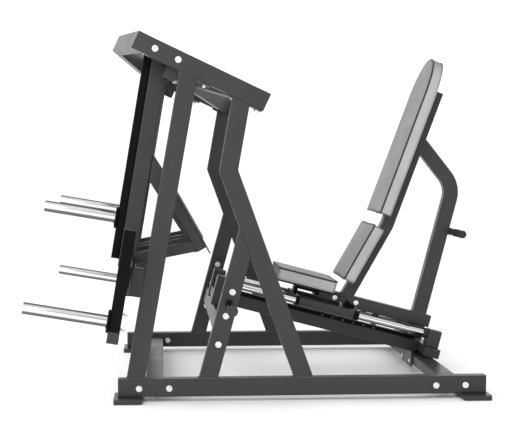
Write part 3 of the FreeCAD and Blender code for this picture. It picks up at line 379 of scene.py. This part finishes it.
def lathe(name, start, end, profile, material, sides=40):
    """A turned piece round the line from start to end; profile lists (distance along, radius)."""
    axis = (end - start).normalized()
    across = axis.orthogonal().normalized()
    other = axis.cross(across)
    vertices = []
    for along, radius in profile:
        vertices += ring(start + axis * along, across, other, radius, sides)
    faces = ring_faces(0, len(profile), sides) + cap(0, len(profile), sides)
    return new_object(name, vertices, faces, material)


def extent(points, axis):
    """How far points reach, lowest and highest, along an axis."""
    reach = [p.dot(axis) for p in points]
    return min(reach), max(reach)


class Panel:
    """The slab that a CAD node fills: its front face's outline, its depth and its axes."""

    def __init__(self, node, toward):
        mesh = NODES[node].data
        points = np.array([v.co for v in mesh.vertices], float)
        sums = {}
        for face in mesh.polygons:
            if abs(face.normal.y) < 0.01 and face.normal.dot(toward) > 0:
                key = tuple(round(c, 2) for c in face.normal)
                area, total = sums.get(key, (0.0, Vector()))
                sums[key] = (area + face.area, total + face.normal * face.area)
        self.front = max(sums.values(), key=lambda pair: pair[0])[1].normalized()
        self.along = Y_AXIS.cross(self.front).normalized()
        if self.along.z < 0 or abs(self.along.z) < 0.5 and self.along.x < 0:
            self.along = -self.along
        heights = points @ np.array(self.front)
        spans = points @ np.array(self.along)
        self.top = float(heights.max())
        self.depth = float(heights.max() - heights.min())
        widths = points[:, 1]
        self.mid = (float(spans.max() + spans.min()) / 2, float(widths.max() + widths.min()) / 2)
        self.half = (float(spans.max() - spans.min()) / 2, float(widths.max() - widths.min()) / 2)
        rim = points[heights > self.top - 0.0005]
        flat = np.stack([rim @ np.array(self.along) - self.mid[0], rim[:, 1] - self.mid[1]], 1)
        angles = np.arctan2(flat[:, 1] / self.half[1], flat[:, 0] / self.half[0])
        self.corners = flat[np.argsort(angles)]

    def at(self, u, y, depth):
        """A point u along and y across from the middle, and depth below the front face."""
        across = self.along * (self.mid[0] + u) + Y_AXIS * (self.mid[1] + y)
        return across + self.front * (self.top - depth)

    def outline(self, spacing):
        """The front face's outline as evenly spaced points."""
        loop = [tuple(self.corners[0])]
        for point in self.corners[1:]:
            if math.hypot(point[0] - loop[-1][0], point[1] - loop[-1][1]) > 1e-5:
                loop.append(tuple(point))
        loop.append(loop[0])
        lengths = [0.0]
        for a, b in zip(loop, loop[1:]):
            lengths.append(lengths[-1] + math.hypot(b[0] - a[0], b[1] - a[1]))
        count = max(24, int(lengths[-1] / spacing))
        where = np.linspace(0, lengths[-1], count, endpoint=False)
        u = np.interp(where, lengths, [p[0] for p in loop])
        y = np.interp(where, lengths, [p[1] for p in loop])
        return np.stack([u, y], 1)


def inset_loop(loop, amount):
    """Move each point of a convex loop inwards by its own amount."""
    ahead = np.roll(loop, -1, 0) - np.roll(loop, 1, 0)
    ahead /= np.linalg.norm(ahead, axis=1)[:, None]
    inward = np.stack([-ahead[:, 1], ahead[:, 0]], 1)
    if np.mean(np.sum(inward * -loop, 1)) < 0:
        inward = -inward
    return loop + inward * np.broadcast_to(np.asarray(amount), (len(loop),))[:, None]


# ---- upholstered pads ----

OUTLINE_SPACING = 4 * MM
COVER_VOXEL = 5.5 * MM
SEAM_DEPTH = 5 * MM
BACK_SEAM_RISE = 5 * MM
PULL_IN = 2.2 * MM
CROWN = 7 * MM
SIDE_SWELL = 2.5 * MM
SEAM_INSET = 2.5 * MM
PIPING_INSET = 2.2 * MM
SEAM_HELD = 3.2 * MM
BACK_HELD = 3.0 * MM
PUCKER_REACH = 45 * MM
PUCKER_FADE = 14 * MM
PUCKERS_ROUND = 34.0
FRONT_PIPING_R = 3.8 * MM
BACK_PIPING_R = 2.4 * MM
STITCH_PITCH = 5.2 * MM
STITCH_INSET = 9 * MM
STITCH_R = 0.55 * MM
STITCH_PROUD = 0.25 * MM
STITCH_SUNK = -0.35 * MM
RAY_START = 50 * MM


def simulate(obj, pin_names, frames=20):
    """Blow the pad's cover up a little with a cloth simulation, then keep the result as its mesh."""
    cloth = obj.modifiers.new("Cloth", "CLOTH")
    cloth.settings.use_pressure = True
    cloth.settings.uniform_pressure_force = 4.0
    cloth.settings.vertex_group_mass = pin_names
    cloth.settings.effector_weights.gravity = 0.0
    cloth.settings.quality = 5
    cloth.settings.tension_stiffness = 20
    cloth.settings.compression_stiffness = 20
    cloth.settings.bending_stiffness = 2.0
    cloth.point_cache.frame_start = 1
    cloth.point_cache.frame_end = frames
    scene = bpy.context.scene
    for number in range(1, frames + 1):
        scene.frame_set(number)
    shape = obj.evaluated_get(bpy.context.evaluated_depsgraph_get()).data
    moved = np.zeros(len(shape.vertices) * 3)
    shape.vertices.foreach_get("co", moved)
    obj.modifiers.remove(cloth)
    scene.frame_set(1)
    return moved.reshape(-1, 3)


def apply_modifier(obj, kind, **settings):
    """Give the object a modifier and keep the result as its mesh."""
    modifier = obj.modifiers.new(kind.title(), kind)
    for key, value in settings.items():
        setattr(modifier, key, value)
    mesh = bpy.data.meshes.new_from_object(obj.evaluated_get(bpy.context.evaluated_depsgraph_get()))
    obj.modifiers.clear()
    old = obj.data
    obj.data = mesh
    bpy.data.meshes.remove(old)


def pad(node, toward):
    """A foam pad in a sewn vinyl cover, with piping along both seams and a row of stitches beside it."""
    slab = Panel(node, Vector(toward))
    outline = slab.outline(OUTLINE_SPACING)
    pull = pull_in(slab, outline)
    depth = slab.depth
    # Rings of the cover from front to back: depth below the front face, and inset from the outline.
    profile = [(1.5 * MM, 12 * MM), (2.5 * MM, 6 * MM), (SEAM_DEPTH, 2.5 * MM), (12 * MM, 1.6 * MM),
               (depth / 2, 1.4 * MM), (depth - 12 * MM, 1.8 * MM), (depth - BACK_SEAM_RISE, 2.8 * MM),
               (depth - 2 * MM, 6 * MM), (depth - 1.2 * MM, 10 * MM)]
    vertices = []
    for level, inset in profile:
        vertices += [slab.at(u, y, level) for u, y in inset_loop(outline, pull + inset)]
    count = len(outline)
    faces = ring_faces(0, len(profile), count) + cap(0, len(profile), count)
    cover = new_object(node + "_cover", vertices, faces, MATERIALS["vinyl"])
    apply_modifier(cover, "REMESH", mode="VOXEL", voxel_size=COVER_VOXEL, use_smooth_shade=True)
    dress(cover, MATERIALS["vinyl"])
    swell(cover, slab, depth)
    apply_modifier(cover, "SUBSURF", levels=1, render_levels=1)
    cover.data.shade_smooth()
    pucker(cover, slab, outline, pull, depth)
    side_panels(cover, slab, depth)
    finish_piece(cover, node)
    piping(node, slab, outline, pull, depth)
    stitching(node, slab, cover)


def side_panels(cover, slab, depth):
    """The strip between the two seams gets a paler vinyl, painted light that makes the pad's sides look
    more brightly lit than its front.
    """
    cover.data.materials.append(GUSSET_PAINTED_LIGHT)
    for face in cover.data.polygons:
        level = slab.top - face.center.dot(slab.front)
        if SEAM_DEPTH - 1.0 * MM < level < depth - 2.0 * MM:
            face.material_index = 1


def swell(cover, slab, depth):
    """Crown the pad's faces between its seams."""
    mesh = cover.data
    rest = np.array([v.co for v in mesh.vertices], float)
    front = np.array(slab.front)
    level = slab.top - rest @ front
    u = (rest @ np.array(slab.along) - slab.mid[0]) / slab.half[0]
    y = (rest[:, 1] - slab.mid[1]) / slab.half[1]
    edge = np.maximum(np.abs(u), np.abs(y))
    on_top = level < SEAM_DEPTH
    from_front = np.abs(level - SEAM_DEPTH)
    from_back = np.abs(level - depth + BACK_SEAM_RISE)
    seam = (from_front < SEAM_HELD) | (from_back < SEAM_HELD)
    held = (seam & (edge > 0.9)) | (level > depth - BACK_HELD)
    group = cover.vertex_groups.new(name="held")
    group.add([int(i) for i in np.nonzero(held)[0]], 1.0, "REPLACE")
    blown = simulate(cover, "held")
    step = blown - rest
    size = np.linalg.norm(step, axis=1)
    limit = np.where(on_top, CROWN, SIDE_SWELL)
    soft = limit * np.tanh(size / limit)
    moved = rest + step * (soft / np.maximum(size, 1e-9))[:, None]
    cover.vertex_groups.clear()
    mesh.vertices.foreach_set("co", moved.reshape(-1))
    mesh.update()


def pucker(cover, slab, outline, pull, depth):
    """Small gathers in the cover beside the front seam, strongest at the corners."""
    mesh = cover.data
    seam_line = inset_loop(outline, pull + SEAM_INSET)
    points = np.array([v.co for v in mesh.vertices], float)
    normals = np.array([v.normal for v in mesh.vertices], float)
    u = points @ np.array(slab.along) - slab.mid[0]
    y = points[:, 1] - slab.mid[1]
    level = slab.top - points @ np.array(slab.front)
    corner = (np.abs(u) / slab.half[0]) ** 4 * (np.abs(y) / slab.half[1]) ** 4
    for i in np.nonzero(level < depth / 2)[0]:
        gap = seam_line - (u[i], y[i])
        distance = float(np.sqrt((gap ** 2).sum(1)).min()) + max(level[i] - SEAM_DEPTH, 0.0)
        if distance > PUCKER_REACH:
            continue
        angle = math.atan2(y[i], u[i])
        fold = noise.noise(Vector((angle * PUCKERS_ROUND, distance * 18.0, 1.7)))
        size = (0.25 + 1.3 * corner[i]) * MM * math.exp(-distance / PUCKER_FADE)
        points[i] += normals[i] * fold * size
    mesh.vertices.foreach_set("co", points.reshape(-1))
    mesh.update()


def pull_in(slab, loop):
    """How far each point of the outline is drawn in, most at the middle of a side."""
    nearest = np.minimum(np.abs(loop[:, 0]) / slab.half[0], np.abs(loop[:, 1]) / slab.half[1])
    return PULL_IN * (1 - nearest ** 2)


def piping(node, slab, outline, pull, depth):
    """A dark cord round the front seam and a finer pale one round the back seam."""
    vertices = []
    faces = []
    loop = inset_loop(outline, pull + PIPING_INSET)
    front_seam = (SEAM_DEPTH + 1.3 * MM, FRONT_PIPING_R)
    back_seam = (depth - BACK_SEAM_RISE + 0.6 * MM, BACK_PIPING_R)
    for level, radius in (front_seam, back_seam):
        path = [slab.at(p[0], p[1], level) for p in loop]
        join_mesh(vertices, faces, *tube_mesh(path, radius))
    cord = new_object(node + "_piping", vertices, faces, PIPING)
    cord.data.materials.append(GUSSET_PAINTED_LIGHT)
    for face in cord.data.polygons:
        if slab.top - face.center.dot(slab.front) > depth / 2:
            face.material_index = 1
    ride_with(cord, node)


def stitching(node, slab, cover):
    """A row of single stitches in the cover, a little inside the front seam."""
    tree = BVHTree.FromObject(cover, bpy.context.evaluated_depsgraph_get())
    vertices = []
    faces = []
    loop = slab.outline(STITCH_PITCH)
    loop = inset_loop(loop, pull_in(slab, loop) + STITCH_INSET)
    count = len(loop)
    for i in range(count):
        a = Vector(loop[i])
        b = Vector(loop[(i + 1) % count])
        ends = []
        for share in (0.12, 0.5, 0.82):
            flat = a.lerp(b, share)
            hit = tree.ray_cast(slab.at(flat.x, flat.y, -RAY_START), -slab.front)
            if hit[0] is None:
                break
            lift = STITCH_PROUD if share == 0.5 else STITCH_SUNK
            ends.append(hit[0] + hit[1] * lift)
        if len(ends) < 3:
            continue
        join_mesh(vertices, faces, *tube_mesh(ends, STITCH_R, False, 6))
    row = new_object(node + "_stitching", vertices, faces, THREAD)
    ride_with(row, node)


pad("seat_pad", (0.25, 0, 0.97))
pad("lower_back_pad", (-0.87, 0, 0.5))
pad("upper_back_pad", (-0.94, 0, 0.35))


# ---- foot plate treads ----

STUD_PITCH = 14 * MM
STUD_RISE = 2.2 * MM
PLAIN_BORDER = 12 * MM


def tread(node):
    """A rubber tread with rows of round studs inside a plain border."""
    slab = Panel(node, Vector((0.87, 0, 0.49)))
    outline = slab.outline(OUTLINE_SPACING)
    rings = ((STUD_RISE, 3.0 * MM), (STUD_RISE + 0.6 * MM, 1.0 * MM), (STUD_RISE + 2.0 * MM, 0.3 * MM),
             (slab.depth - 0.1 * MM, 0.3 * MM))
    vertices = []
    for level, inset in rings:
        vertices += [slab.at(u, y, level) for u, y in inset_loop(outline, inset)]
    count = len(outline)
    faces = ring_faces(0, len(rings), count) + cap(0, len(rings), count)
    plain = len(faces)
    rows = int(2 * (slab.half[0] - PLAIN_BORDER) / STUD_PITCH)
    columns = int(2 * (slab.half[1] - PLAIN_BORDER) / STUD_PITCH)
    for i in range(rows + 1):
        stagger = 0.5 if i % 2 else 0.0
        for j in range(columns + 1 - (i % 2)):
            u = (i - rows / 2) * STUD_PITCH
            y = (j - columns / 2 + stagger) * STUD_PITCH
            stud(vertices, faces, slab, u, y)
    obj = new_object(node + "_studded", vertices, faces, TREAD, smooth=False)
    obj.data.materials.append(STUD)
    for face in obj.data.polygons:
        if face.index >= plain:
            face.material_index = 1
    finish_piece(obj, node)


def stud(vertices, faces, slab, u, y, sides=10):
    """One round stud with a sloping side and a flat top."""
    start = len(vertices)
    for level, radius in ((STUD_RISE + 0.2 * MM, 4.6 * MM), (0.7 * MM, 3.7 * MM), (0.1 * MM, 2.9 * MM)):
        for k in range(sides):
            angle = 2 * math.pi * k / sides
            vertices.append(slab.at(u + radius * math.cos(angle), y + radius * math.sin(angle), level))
    faces += ring_faces(start, 3, sides)
    faces.append(cap(start, 3, sides)[1])


tread("tread_pad_left")
tread("tread_pad_right")


# ---- hand grips ----

def grip_profile(length, radius, pitch=7 * MM):
    """A ribbed rubber grip with a rounded end bead at both ends."""
    bead = 6 * MM
    profile = [(0.0, radius * 0.7), (0.6 * MM, radius * 0.9), (2 * MM, radius), (bead, radius)]
    steps = int((length - 2 * bead) / pitch)
    pitch = (length - 2 * bead) / steps
    for i in range(steps):
        at = bead + i * pitch
        for share, drop in ((0.1, 1.8), (0.3, 1.8), (0.45, 0.5), (0.6, 0.2), (0.8, 0.5), (0.95, 1.8)):
            profile.append((at + share * pitch, radius - drop * MM))
    profile += [(length - bead, radius), (length - 2 * MM, radius)]
    profile += [(length - 0.6 * MM, radius * 0.9), (length, radius * 0.7)]
    return profile


def bar_grips():
    """A ribbed grip on each end of the bar behind the backrest."""
    node = "rear_grip_sleeves"
    low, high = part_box(node)
    middle = (low + high) / 2
    radius = (high.z - low.z) / 2
    gap = min(abs(v.co.y) for v in NODES[node].data.vertices)
    for side, name in ((-1, "left"), (1, "right")):
        start = Vector((middle.x, side * gap, middle.z))
        end = Vector((middle.x, side * high.y, middle.z))
        made = lathe("grip_" + name, start, end, grip_profile(high.y - gap, radius), MATERIALS["rubber"])
        finish_piece(made, node)


bar_grips()

# The seat's own directions come from its slide: along it towards the rear, and square up from it.
SLIDE = next(j for j in frame["record"]["behaviour"]["joints"] if j["name"] == "seat_slide")
SEAT_ALONG = -Vector(SLIDE["axis"]).normalized()
SEAT_UP = SEAT_ALONG.cross(Y_AXIS).normalized()
if SEAT_UP.z < 0:
    SEAT_UP = -SEAT_UP


HANDLE_RINGS = 44
HANDLE_SIDES = 28
HANDLE_ENDS = 6 * MM
FINGERS = 4
FINGER_HOLLOW = 0.17
SQUARENESS = 0.6


def squared(value):
    """A sine or cosine pushed outwards, which turns a circle into a rounded square."""
    return math.copysign(abs(value) ** SQUARENESS, value)


def lever_handle():
    """A moulded grip with finger hollows on its underside."""
    node = "lever_grip"
    points = [v.co for v in NODES[node].data.vertices]
    spans = [extent(points, axis) for axis in (SEAT_ALONG, SEAT_UP, Y_AXIS)]
    middle = [(low + high) / 2 for low, high in spans]
    half = [(high - low) / 2 for low, high in spans]
    vertices = []
    for i in range(HANDLE_RINGS + 1):
        t = i / HANDLE_RINGS
        from_end = min(t, 1 - t) * 2 * half[0]
        close = math.sqrt(1 - (1 - min(from_end / HANDLE_ENDS, 1.0)) ** 2) * 0.35 + 0.65
        finger = 0.5 - 0.5 * math.cos(2 * math.pi * FINGERS * t)
        for k in range(HANDLE_SIDES):
            angle = 2 * math.pi * k / HANDLE_SIDES
            across = squared(math.cos(angle))
            rise = squared(math.sin(angle))
            hollow = 1.0 - FINGER_HOLLOW * finger * max(-rise, 0.0)
            point = SEAT_ALONG * (middle[0] + (2 * t - 1) * half[0])
            point = point + SEAT_UP * (middle[1] + rise * half[1] * close * hollow)
            vertices.append(point + Y_AXIS * (middle[2] + across * half[2] * close))
    faces = ring_faces(0, HANDLE_RINGS + 1, HANDLE_SIDES) + cap(0, HANDLE_RINGS + 1, HANDLE_SIDES)
    made = new_object("lever_handle", vertices, faces, MATERIALS["rubber"])
    finish_piece(made, node)


lever_handle()


# ---- pivot end plates ----

SHARE_CUT_AWAY = 0.64
CUTTER_MARGIN = 10 * MM
BEAM_GAP = 2 * MM
CUTTER_HALF_WIDTH = 2.0


def trimmed_end_plates():
    """The pivot's end plates reach below the beams only behind the arms."""
    node = "pivot_shaft"
    beam = Panel("top_beams", Vector((0.4, 0, 0.9)))
    along = beam.along if beam.along.x > 0 else -beam.along
    mesh = NODES[node].data.copy()
    points = [v.co for v in mesh.vertices]
    front, back = extent(points, along)
    bottom = extent(points, beam.front)[0]
    alongs = (front - CUTTER_MARGIN, front + SHARE_CUT_AWAY * (back - front))
    heights = (bottom - CUTTER_MARGIN, beam.top - beam.depth - BEAM_GAP)
    across = (-CUTTER_HALF_WIDTH, CUTTER_HALF_WIDTH)
    corners = [along * a + beam.front * b + Y_AXIS * y for a in alongs for b in heights for y in across]
    sides = [(0, 1, 3, 2), (4, 5, 7, 6), (0, 1, 5, 4), (2, 3, 7, 6), (0, 2, 6, 4), (1, 3, 7, 5)]
    cutter = new_object("cutter", corners, sides, MATERIALS["frame_paint"], smooth=False)
    made = bpy.data.objects.new("pivot_shaft_plates", mesh)
    bpy.context.scene.collection.objects.link(made)
    bm = bmesh.new()
    bm.from_mesh(mesh)
    bmesh.ops.remove_doubles(bm, verts=bm.verts, dist=MERGE_DISTANCE)
    bm.to_mesh(mesh)
    bm.free()
    apply_modifier(made, "BOOLEAN", object=cutter, operation="DIFFERENCE", solver="EXACT")
    bpy.data.objects.remove(cutter)
    dress(made, MATERIALS["frame_paint"])
    made.data.shade_smooth()
    made.data.set_sharp_from_angle(angle=SHARP_ANGLE)
    finish_piece(made, node)


trimmed_end_plates()


# ---- weld beads ----

BEAD_R = 2.6 * MM
BEAD_STEP = 1.6 * MM
BEAD_RIPPLE = 0.16
RIPPLE_TURN = 1.9
ON_PLANE = 0.4 * MM


def weld_loops(name, node, point, normal, side_by_side=True):
    """Rippled beads round the foot of each tube of a node, where it stands on a plane."""
    normal = Vector(normal).normalized()
    point = Vector(point)
    mesh = NODES[node].data
    near = [v.co.copy() for v in mesh.vertices if abs((v.co - point).dot(normal)) < ON_PLANE]
    groups = [near]
    if side_by_side:
        groups = [[p for p in near if p.y < 0], [p for p in near if p.y > 0]]
    vertices = []
    faces = []
    for group in groups:
        if len(group) < 4:
            continue
        centre = sum(group, Vector()) / len(group)
        e1 = normal.orthogonal().normalized()
        e2 = normal.cross(e1)
        flat = sorted({(round((p - centre).dot(e1), 5), round((p - centre).dot(e2), 5)) for p in group})
        hull = convex(flat)
        path = []
        for a, b in zip(hull, hull[1:] + hull[:1]):
            run = math.hypot(b[0] - a[0], b[1] - a[1])
            steps = max(1, int(run / BEAD_STEP))
            for k in range(steps):
                x = a[0] + (b[0] - a[0]) * k / steps
                y = a[1] + (b[1] - a[1]) * k / steps
                path.append(centre + e1 * x + e2 * y)
        phase = random.Random(len(path)).random() * 6
        bead = tube_mesh(path, lambda i: BEAD_R * (1 + BEAD_RIPPLE * math.sin(i * RIPPLE_TURN + phase)))
        join_mesh(vertices, faces, *bead)
    if vertices:
        made = new_object(name, vertices, faces, WELD)
        ride_with(made, node)


def convex(points):
    """The convex hull of flat points, in order."""
    def half(source):
        chain = []
        for p in source:
            while len(chain) > 1:
                a, b = chain[-2], chain[-1]
                if (b[0] - a[0]) * (p[1] - a[1]) - (b[1] - a[1]) * (p[0] - a[0]) > 0:
                    break
                chain.pop()
            chain.append(p)
        return chain[:-1]
    return half(points) + half(points[::-1])


RAIL_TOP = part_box("base_rails")[1].z
for foot in ("front_posts", "rear_uprights", "bent_posts"):
    weld_loops("weld_" + foot, foot, (0, 0, RAIL_TOP), (0, 0, 1))
SEAT_TOP = SEAT_UP * max(v.co.dot(SEAT_UP) for v in NODES["seat_rail"].data.vertices)
for foot in ("back_post", "back_support"):
    weld_loops("weld_" + foot, foot, SEAT_TOP, SEAT_UP, side_by_side=False)


# ---- floor, light and camera ----

def stage_floor():
    """A wide, almost white floor."""
    g = Graph("floor")
    cloud = g.noise(0.7, 4.0)
    base = g.mix(g.remap(cloud, 0.3, 0.7, 0.0, 1.0), grey(0.95), grey(0.97))
    g.set(Base_Color=base, Roughness=0.7, Normal=g.bump(g.noise(400.0, 3.0), 0.0002, 0.3))
    reach = 40.0
    corners = [(-reach, -reach, 0), (reach, -reach, 0), (reach, reach, 0), (-reach, reach, 0)]
    floor = new_object("floor", corners, [(0, 1, 2, 3)], g.material, smooth=False)


def light(name, location, target, size, power):
    """A soft rectangular lamp that points at target."""
    data = bpy.data.lights.new(name, "AREA")
    data.shape = "RECTANGLE"
    data.size, data.size_y = size
    data.energy = power
    lamp = bpy.data.objects.new(name, data)
    lamp.location = location
    lamp.rotation_euler = (Vector(target) - Vector(location)).to_track_quat("-Z", "Y").to_euler()
    bpy.context.scene.collection.objects.link(lamp)


def studio_world():
    """White all round, with a soft grey band low over the near side for the bright metal to reflect."""
    world = bpy.data.worlds.new("studio")
    world.use_nodes = True
    tree = world.node_tree

    def node(kind, inputs=(), **settings):
        made = tree.nodes.new(kind)
        for key, value in settings.items():
            setattr(made, key, value)
        for key, value in dict(inputs).items():
            if isinstance(value, bpy.types.NodeSocket):
                tree.links.new(value, made.inputs[key])
            else:
                made.inputs[key].default_value = value
        return made.outputs

    def ramp(value, low, high, to_low, to_high):
        return node("ShaderNodeMapRange", {"Value": value, 1: low, 2: high, 3: to_low, 4: to_high})[0]

    def product(a, b):
        return node("ShaderNodeMath", {0: a, 1: b}, operation="MULTIPLY")[0]

    toward = node("ShaderNodeSeparateXYZ", {0: node("ShaderNodeTexCoord")["Generated"]})
    near_side = ramp(toward[1], -0.1, -0.45, 0.0, 1.0)
    band = product(ramp(toward[2], 0.22, 0.34, 0.0, 1.0), ramp(toward[2], 0.58, 0.78, 1.0, 0.0))
    background = tree.nodes["Background"]
    background.inputs["Color"].default_value = (1.0, 1.0, 1.0, 1.0)
    tree.links.new(ramp(product(near_side, band), 0.0, 1.0, 1.2, 0.45), background.inputs["Strength"])
    bpy.context.scene.world = world


stage_floor()
studio_world()
bpy.context.scene.view_settings.view_transform = "Standard"
light("key", (-2.2, -4.6, 3.6), (0, 0, 0.8), (2.6, 2.0), 110)
light("side", (-4.5, 0.5, 2.2), (0, 0, 0.9), (2.0, 2.4), 60)

# The camera stands at the left of the machine, level with its middle, and looks slightly down.
CAMERA_PLACE = (-0.4435, -5.005, 1.056)
CAMERA_YAW = math.radians(3.0)
CAMERA_PITCH = math.radians(3.3182)
CAMERA_LENS = 71.8
CAMERA_SHIFT = 0.075
camera_data = bpy.data.cameras.new("camera")
camera_data.sensor_width = 36.0
camera_data.lens = CAMERA_LENS
camera_data.shift_x = CAMERA_SHIFT
camera = bpy.data.objects.new("camera", camera_data)
camera.location = CAMERA_PLACE
camera.rotation_euler = (math.pi / 2 - CAMERA_PITCH, 0.0, -CAMERA_YAW)
bpy.context.scene.collection.objects.link(camera)
bpy.context.scene.camera = camera

bpy.context.view_layer.update()
